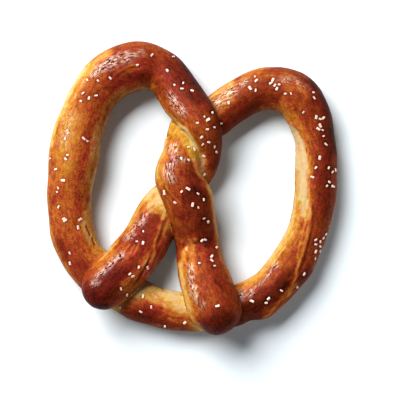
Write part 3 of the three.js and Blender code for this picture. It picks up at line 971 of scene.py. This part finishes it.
def crust_material(crust):
    """Lye-dipped wheat crust: a thin browned skin, glossy where it set tight, with a painted
    highlight paling the glossy flakes.
    """
    material, tree = new_material("lye_browned_crust")
    place = node(tree, "TexCoord").outputs["Object"]
    bake, shine, hue = (node(tree, "Attribute", {"attribute_name": name}).outputs["Fac"]
                        for name in ("bake", "shine", "hue"))
    # Places along and across the rope, drawn out along it, for what the rolling stretched.
    laid = node(tree, "Attribute", {"attribute_name": "rope_place"})
    drawn_out = node(tree, "VectorMath", MULTIPLY, input_0=laid.outputs["Vector"],
                     input_1=(0.4, 1.0, 1.0))

    # Freckles of 1.1 mm, under patches, blotches, a grain and drawn-out streaks. In a row: size
    # in millimetres, where it is read, roughness, height.
    freckles = node(tree, "TexNoise", Vector=place, Scale=per_metre(1.1), Detail=1.0,
                    Distortion=0.4)
    mottling = node(tree, "MapRange", Value=freckles, From_Min=0.62, From_Max=0.70,
                    To_Max=0.14)
    for millimetres, where, roughness, height in (
            (6.0, place, 0.5, 0.05), (2.4, place, 0.5, 0.06), (0.8, place, 0.6, 0.09),
            (1.2, drawn_out, 0.5, 0.10)):
        layer = node(tree, "TexNoise", Vector=where, Scale=per_metre(millimetres), Detail=2.0,
                     Roughness=roughness)
        layer = node(tree, "MapRange", Value=layer, From_Min=0.3, From_Max=0.7,
                     To_Min=-height, To_Max=height)
        mottling = node(tree, "Math", ADD, input_0=mottling, input_1=layer)
    # All of it is fainter on pale dough and on the darkest crust.
    on_pale = node(tree, "MapRange", Value=bake, From_Max=0.3, To_Min=0.4)
    on_dark = node(tree, "MapRange", Value=bake, From_Min=0.6, From_Max=0.9, To_Min=1.0,
                   To_Max=0.45)
    for share in (on_pale, on_dark):
        mottling = node(tree, "Math", MULTIPLY, input_0=mottling, input_1=share)
    mottled = node(tree, "Math", ADD, input_0=bake, input_1=mottling)

    # Where the skin dried tight it lies in glossy flakes, with dull gaps between them; painted
    # shade darkens the gaps like the grooves of wrinkles.
    flakes = node(tree, "TexNoise", Vector=drawn_out, Scale=per_metre(crust.flake_size / MM),
                  Detail=3.0, Roughness=0.65)
    flakes = node(tree, "MapRange", Value=flakes, From_Min=0.43, From_Max=0.48)
    glossy = node(tree, "Math", MULTIPLY, input_0=flakes, input_1=shine)
    painted_gap_shade = node(tree, "Math", SUBTRACT, input_0=shine, input_1=glossy)
    mottled = node(tree, "Math", MULTIPLY_ADD, input_0=painted_gap_shade, input_1=0.40, input_2=mottled)

    ramp = node(tree, "ValToRGB", Fac=mottled)
    stops = ((0.0, crust.cream), (0.15, crust.straw), (0.30, crust.golden),
             (0.50, crust.orange), (0.65, crust.chestnut), (0.80, crust.red_brown),
             (0.92, crust.dark), (1.0, crust.mahogany))
    elements = ramp.color_ramp.elements
    while len(elements) < len(stops):
        elements.new(0.5)
    for element, (position, colour) in zip(elements, stops):
        element.position = position
        element.color = colour

    # The hue wanders between red and yellow over 3 mm, and hardly so on pale dough.
    wander = node(tree, "TexNoise", Vector=place, Scale=per_metre(3.0), Detail=2.0,
                  Roughness=0.5)
    wander = node(tree, "MapRange", Value=wander, From_Min=0.3, From_Max=0.7, To_Min=-0.9,
                  To_Max=0.9)
    hue = node(tree, "Math", ADD, input_0=hue, input_1=wander)
    on_pale = node(tree, "MapRange", Value=mottled, From_Min=0.05, From_Max=0.4, To_Min=0.3)
    hue = node(tree, "Math", MULTIPLY, input_0=hue, input_1=on_pale)
    green, blue = (node(tree, "MapRange", Value=hue, From_Min=-1.5, From_Max=0.9,
                        To_Min=reddest, To_Max=yellowest)
                   for reddest, yellowest in ((0.5, 1.3), (1.3, 0.7)))
    tint = node(tree, "CombineColor", Red=1.0, Green=green, Blue=blue)
    tinted = node(tree, "Mix", MULTIPLY_COLOURS, input_0=1.0, input_6=ramp, input_7=tint)
    # Painted highlight: the glossy flakes are mixed part way towards a pale pink tint.
    highlight_share = node(tree, "Math", MULTIPLY, input_0=glossy, input_1=0.30)
    colour = node(tree, "Mix", MIX_COLOURS, input_0=highlight_share, input_6=tinted,
                  input_7=crust.highlight_tint)

    # A faint grain all over, and the edges of the flakes.
    wrinkles = node(tree, "TexNoise", Vector=place, Scale=per_metre(1.0), Detail=3.0,
                    Roughness=0.6, Distortion=0.6)
    share = node(tree, "MapRange", Value=shine, To_Min=0.55)
    height = node(tree, "Math", MULTIPLY, input_0=wrinkles, input_1=share)
    height = node(tree, "Math", MULTIPLY_ADD, input_0=glossy, input_1=0.4, input_2=height)
    bump = node(tree, "Bump", Strength=1.0, Distance=0.45 * MM, Height=height)
    roughness = node(tree, "MapRange", Value=shine, To_Min=0.5, To_Max=0.35)
    surface = node(tree, "BsdfPrincipled", Base_Color=colour, Roughness=roughness, IOR=1.5,
                   Specular_IOR_Level=0.05, Coat_Weight=glossy, Coat_Roughness=0.13,
                   Coat_IOR=1.6, Normal=bump, Coat_Normal=bump)
    node(tree, "OutputMaterial", Surface=surface)
    return material


def salt_material(salt):
    """Coarse rock salt: broken crystals, white and slightly clear, tinted warm by painted
    reflected light from the crust.
    """
    material, tree = new_material("coarse_rock_salt")
    cloud = node(tree, "TexNoise", Vector=node(tree, "TexCoord").outputs["Object"],
                 Scale=per_metre(0.9), Detail=2.0)
    tint = node(tree, "Mix", MIX_COLOURS, input_0=cloud, input_6=salt.colour,
                input_7=salt.cloud)
    surface = node(tree, "BsdfPrincipled", Base_Color=tint, Roughness=0.35, IOR=1.54)
    node(tree, "OutputMaterial", Surface=surface)
    return material


def floor_material(stage):
    """Matt painted board, pale and even. Its faint glow stands for light from a wider room,
    which keeps the shadows grey beside so brown a crust."""
    material, tree = new_material("matt_painted_board")
    surface = node(tree, "BsdfPrincipled", Base_Color=stage.floor, Roughness=0.9,
                   Emission_Color=stage.glow, Emission_Strength=stage.glow_strength)
    node(tree, "OutputMaterial", Surface=surface)
    return material


# ---------------------------------------------------------------------------------------------
# Pieces
# ---------------------------------------------------------------------------------------------
def select_only(*objects):
    bpy.ops.object.select_all(action="DESELECT")
    for thing in objects:
        thing.select_set(True)
    bpy.context.view_layer.objects.active = objects[-1]


def apply_modifier(thing, kind, **settings):
    select_only(thing)
    modifier = thing.modifiers.new(kind.title(), kind)
    for name, value in settings.items():
        setattr(modifier, name, value)
    bpy.ops.object.modifier_apply(modifier=modifier.name)


def label(thing, name, material):
    """Names a piece and gives it its one material."""
    thing.name = thing.data.name = name
    thing.data.materials.clear()
    thing.data.materials.append(material)


def read_vertices(mesh):
    """The places, in millimetres, and the normals of a mesh's vertices."""
    values = []
    for layer, field in ((mesh.vertices, "co"), (mesh.vertex_normals, "vector")):
        flat = np.empty(len(layer) * 3, np.float32)
        layer.foreach_get(field, flat)
        values.append(flat.reshape(-1, 3).astype(float))
    return values[0] / MM, values[1]


def move_vertices(mesh, points):
    mesh.vertices.foreach_set("co", (points * MM).astype(np.float32).ravel())
    mesh.update()


def store(mesh, name, values):
    """Keeps a number or a vector at each vertex."""
    kind, field = ("FLOAT", "value") if values.ndim == 1 else ("FLOAT_VECTOR", "vector")
    layer = mesh.attributes.new(name, kind, "POINT")
    layer.data.foreach_set(field, values.astype(np.float32).ravel())


def roll_rope(rope, number, section):
    """One stretch of the rope, as a closed tube with rounded ends."""
    low, high = rope.bounds[number:number + 2]
    angles = np.linspace(0.0, math.pi / 2, END_RINGS + 1)[:-1]
    rings = int((high - low) / RING_STEP)
    along = np.concatenate([low - END_LENGTH * np.cos(angles), np.linspace(low, high, rings),
                            high + END_LENGTH * np.cos(angles[::-1])])
    share = np.concatenate([np.sin(angles), np.ones(rings), np.sin(angles[::-1])])
    middle = rope.at(along, rope.middle)
    width = rope.at(along, rope.width) * np.maximum(share, NARROWEST)
    bpy.ops.curve.primitive_nurbs_path_add()
    tube = bpy.context.object
    path = tube.data
    path.splines.clear()
    spline = path.splines.new("POLY")
    spline.points.add(len(along) - 1)
    spline.points.foreach_set("co", np.column_stack([middle * MM, np.ones(len(along))]).ravel())
    spline.points.foreach_set("radius", width * MM)
    path.dimensions = "3D"
    path.twist_mode = "Z_UP"
    path.bevel_mode = "OBJECT"
    path.bevel_object = section
    path.use_fill_caps = True
    select_only(tube)
    bpy.ops.object.convert(target="MESH")
    return bpy.context.object


def relief_of(skin, dough):
    """Millimetres by which the crust stands out of the smooth rope."""
    height = dough.lumps / MM * layered(skin.points, LUMPS)
    wander = layered(skin.points, RELIEF_SWAY)
    for depth, soft, *outline in HOLLOWS:
        height += depth * skin.cover(None, soft, outline, wander)
    for amount, half, *places in RIDGES:
        distance = skin.distance_to(places, 3 * half + 2)
        inside = distance < OUT_OF_REACH
        distance += wander * half * 0.5
        height += amount * np.exp(-((distance / half) ** 2)) * inside
    height -= DIP_DEPTH * skin.near_salt(DIP_REACH)
    # None of it shows on the underside. The swells lie on one side of the rope.
    height *= smooth_step(-0.8, -0.2, skin.above)
    for along, side, amount, half in SWELLS:
        share = np.exp(-(((skin.along - along) / half) ** 2))
        height += amount * share * smooth_step(0.1, 0.9, side * skin.across)
    return height


def browning_of(skin, shine):
    """How brown the crust is, from 0 to 1."""
    wander = layered(skin.points, BROWNING_SWAY)
    bake = skin.paint(np.full(len(skin.points), PLAIN_LEVEL), BROWNING, 0.9 * wander)
    # Painted shade round each salt grain.
    bake += SALT_PAINTED_SHADE * skin.near_salt(SALT_SHADE_REACH)
    # Painted highlight: the crust is drawn paler where the skin shines.
    bake -= SHINE_PAINTED_HIGHLIGHT * shine
    flank = smooth_step(0.1, -0.5, skin.above + 0.2 * wander)
    bake += (FLANK_LEVEL + 0.08 * wander - bake) * flank
    # Beside the lip of the turn the drawn-out dough stays pale down the flank; the paleness there
    # is also painted light, on a flank that faces away from the lamp.
    bake += (0.06 - bake) * flank * skin.cover(3.0, 2.0, SHOULDER_LIP, wander)
    sole = smooth_step(1.0, 0.2, skin.points[:, 2])
    bake += (SOLE_LEVEL + 0.16 * wander - bake) * sole
    return np.clip(bake, 0.0, 1.0)


def hue_of(skin):
    """How yellow, above 0, or red, below 0, the crust is for its browning."""
    edges = 0.4 * smooth_step(0.5, 0.9, np.abs(skin.across))
    return skin.paint(edges, HUES, layered(skin.points, HUE_SWAY))


def shine_of(skin):
    """How tight and glossy the skin is, from 0 to 1."""
    wander = layered(skin.points, SHINE_SWAY)
    shine = np.zeros(len(skin.points))
    for strength, radius, soft, *places in SHINE:
        shine = np.maximum(shine, strength * skin.cover(radius, soft, places, wander))
    return shine * smooth_step(-0.9, 0.3, layered(skin.points, SHINE_BREAKS))


class PRETZEL_OT_shape_dough(bpy.types.Operator):
    """Rolls, twists and bakes the dough"""

    bl_idname = "pretzel.shape_dough"
    bl_label = "Shape Dough"

    def execute(self, context):
        dough = context.scene.pretzel_dough
        rope = Rope(dough)
        bpy.ops.object.select_all(action="DESELECT")
        bpy.ops.curve.primitive_bezier_circle_add(radius=0.5)
        section = context.object
        section.scale = (1.0, dough.roundness, 1.0)
        section.data.resolution_u = 8
        bpy.ops.object.transform_apply(scale=True)
        tubes = [roll_rope(rope, number, section) for number in range(3)]
        select_only(*tubes)
        bpy.ops.object.join()
        pretzel = context.object
        bpy.data.objects.remove(section)
        apply_modifier(pretzel, "REMESH", mode="VOXEL", voxel_size=dough.fineness)
        mesh = pretzel.data

        for _ in range(FITTING_STEPS):
            points, normals = read_vertices(mesh)
            skin = Skin(rope, points, dough)
            step = np.clip(skin.distance, -LONGEST_STEP, LONGEST_STEP)
            move_vertices(mesh, points - normals * step[:, None])
        points, normals = read_vertices(mesh)
        skin = Skin(rope, points, dough)
        raised = points + normals * relief_of(skin, dough)[:, None]
        raised[:, 2] = np.maximum(raised[:, 2], 0.0)
        move_vertices(mesh, raised)

        shine = shine_of(skin)
        store(mesh, "bake", browning_of(skin, shine))
        store(mesh, "shine", shine)
        store(mesh, "hue", hue_of(skin))
        lying = np.column_stack([skin.across, skin.above * dough.roundness])
        lying *= skin.half_width[:, None]
        store(mesh, "rope_place", np.column_stack([skin.along, lying]) * MM)
        label(pretzel, "pretzel_dough", crust_material(context.scene.pretzel_crust))
        select_only(pretzel)
        bpy.ops.object.shade_smooth()
        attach(pretzel, "root")
        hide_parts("pretzel")
        return {"FINISHED"}


def break_grain(size, seed):
    """A broken salt crystal: a block with bevelled edges and uneven corners."""
    bpy.ops.object.select_all(action="DESELECT")
    bpy.ops.mesh.primitive_cube_add(size=1.0)
    grain = bpy.context.object
    grain.scale = size
    bpy.ops.object.transform_apply(scale=True)
    bpy.ops.object.mode_set(mode="EDIT")
    bpy.ops.mesh.select_all(action="SELECT")
    bpy.ops.mesh.bevel(offset=GRAIN_BEVEL * size[2], segments=1, affect="EDGES")
    bpy.ops.transform.vertex_random(offset=GRAIN_UNEVENNESS * size[2], seed=seed)
    bpy.ops.mesh.convex_hull()
    bpy.ops.mesh.normals_make_consistent(inside=False)
    bpy.ops.object.mode_set(mode="OBJECT")
    return grain


class PRETZEL_OT_scatter_salt(bpy.types.Operator):
    """Sets coarse salt grains in the crust"""

    bl_idname = "pretzel.scatter_salt"
    bl_label = "Scatter Salt"

    def execute(self, context):
        salt = context.scene.pretzel_salt
        rope = Rope(context.scene.pretzel_dough)
        pretzel = bpy.data.objects.get("pretzel_dough")
        if pretzel is None:
            raise RuntimeError("shape the dough before salting it")
        crust = BVHTree.FromObject(pretzel, context.evaluated_depsgraph_get())
        draw = random.Random(salt.seed)
        kinds = []
        for seed in range(GRAIN_KINDS):
            stretch, flat = draw.uniform(*GRAIN_STRETCH), draw.uniform(*GRAIN_FLATNESS)
            thickness = salt.width * GRAIN_THICKNESS * flat
            kinds.append(break_grain((salt.length * stretch, salt.width, thickness), seed))
        grains = []
        for along, across in SALT_PLACES:
            x, y = rope.place(along, across)
            start = Vector((x * MM, y * MM, WELL_ABOVE))
            spot, normal, _, _ = crust.ray_cast(start, Vector((0, 0, -1)))
            if spot is None:
                raise RuntimeError(f"no crust under the salt grain at {along}, {across}")
            kind = draw.choice(kinds)
            grain = kind.copy()
            grain.data = kind.data.copy()
            context.collection.objects.link(grain)
            tilt = Matrix.Rotation(draw.uniform(-GRAIN_TILT, GRAIN_TILT), 4, "X")
            turn = Matrix.Rotation(draw.uniform(0.0, math.tau), 4, "Z")
            stand = normal.to_track_quat("Z", "Y").to_matrix().to_4x4()
            middle = spot + normal * kind.dimensions.z * (0.5 - salt.sunk)
            scale = Matrix.Scale(draw.uniform(*GRAIN_SCALE), 4)
            grain.data.transform(Matrix.Translation(middle) @ stand @ turn @ tilt @ scale)
            grain.location = (0.0, 0.0, 0.0)
            grains.append(grain)
        for kind in kinds:
            bpy.data.objects.remove(kind)
        select_only(*grains)
        bpy.ops.object.join()
        heap = context.object
        label(heap, "salt_grains", salt_material(salt))
        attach(heap, "root")
        return {"FINISHED"}


class PRETZEL_OT_set_stage(bpy.types.Operator):
    """Lays the floor, and sets the lights and the camera"""

    bl_idname = "pretzel.set_stage"
    bl_label = "Set Stage"

    def execute(self, context):
        stage = context.scene.pretzel_stage
        bpy.ops.mesh.primitive_plane_add(size=stage.floor_size,
                                         location=(0, 0, -stage.floor_gap))
        floor = context.object
        bpy.ops.object.transform_apply(location=True)
        floor.name = "floor"
        floor.data.materials.append(floor_material(stage))

        self.soft_box("key_light", stage.key_azimuth, stage.key_elevation, stage.key_distance,
                      (stage.key_width, stage.key_height), stage.key_power)
        card = self.soft_box("low_card", stage.card_azimuth, stage.card_elevation,
                             stage.card_distance, (stage.card_width, stage.card_height),
                             stage.card_power)
        card.visible_glossy = False
        card.data.color = stage.room[:3]

        world = bpy.data.worlds.new("pale_room")
        context.scene.world = world
        world.use_nodes = True
        world.node_tree.nodes.clear()
        sky = node(world.node_tree, "Background", Color=stage.room, Strength=stage.fill)
        node(world.node_tree, "OutputWorld", Surface=sky)

        place = (stage.camera_x, stage.camera_y, stage.camera_height)
        bpy.ops.object.camera_add(location=place)
        camera = context.object
        camera.name = "camera"
        camera.rotation_euler = (0.0, 0.0, 0.0)
        camera.data.lens = stage.lens
        camera.data.sensor_width = 36
        camera.data.clip_start = 0.01
        context.scene.camera = camera
        context.scene.view_settings.view_transform = "Standard"
        return {"FINISHED"}

    def soft_box(self, name, azimuth, elevation, distance, size, power):
        """An area light that looks at the object from an azimuth and an elevation."""
        towards = Vector((math.cos(azimuth) * math.cos(elevation),
                          math.sin(azimuth) * math.cos(elevation), math.sin(elevation)))
        bpy.ops.object.light_add(type="AREA", location=towards * distance)
        light = bpy.context.object
        light.name = name
        light.rotation_euler = towards.to_track_quat("Z", "Y").to_euler()
        light.data.shape = "RECTANGLE"
        light.data.size, light.data.size_y = size
        light.data.energy = power
        return light


class PRETZEL_PT_sidebar(bpy.types.Panel):
    """Lists the pretzel's operators"""

    bl_idname = "PRETZEL_PT_sidebar"
    bl_label = "Soft Pretzel"
    bl_space_type = "VIEW_3D"
    bl_region_type = "UI"
    bl_category = "Pretzel"

    def draw(self, context):
        for made in OPERATORS:
            self.layout.operator(made.bl_idname)


GROUPS = {
    "pretzel_dough": DoughSettings,
    "pretzel_crust": CrustSettings,
    "pretzel_salt": SaltSettings,
    "pretzel_stage": StageSettings,
}
OPERATORS = (PRETZEL_OT_shape_dough, PRETZEL_OT_scatter_salt, PRETZEL_OT_set_stage)


def register():
    for name, group in GROUPS.items():
        bpy.utils.register_class(group)
        setattr(bpy.types.Scene, name, PointerProperty(type=group))
    for made in (*OPERATORS, PRETZEL_PT_sidebar):
        bpy.utils.register_class(made)


def unregister():
    for made in (PRETZEL_PT_sidebar, *reversed(OPERATORS)):
        bpy.utils.unregister_class(made)
    for name, group in reversed(GROUPS.items()):
        delattr(bpy.types.Scene, name)
        bpy.utils.unregister_class(group)


def main():
    register()
    bpy.ops.pretzel.shape_dough()
    bpy.ops.pretzel.scatter_salt()
    bpy.ops.pretzel.set_stage()


if __name__ == "__main__":
    main()
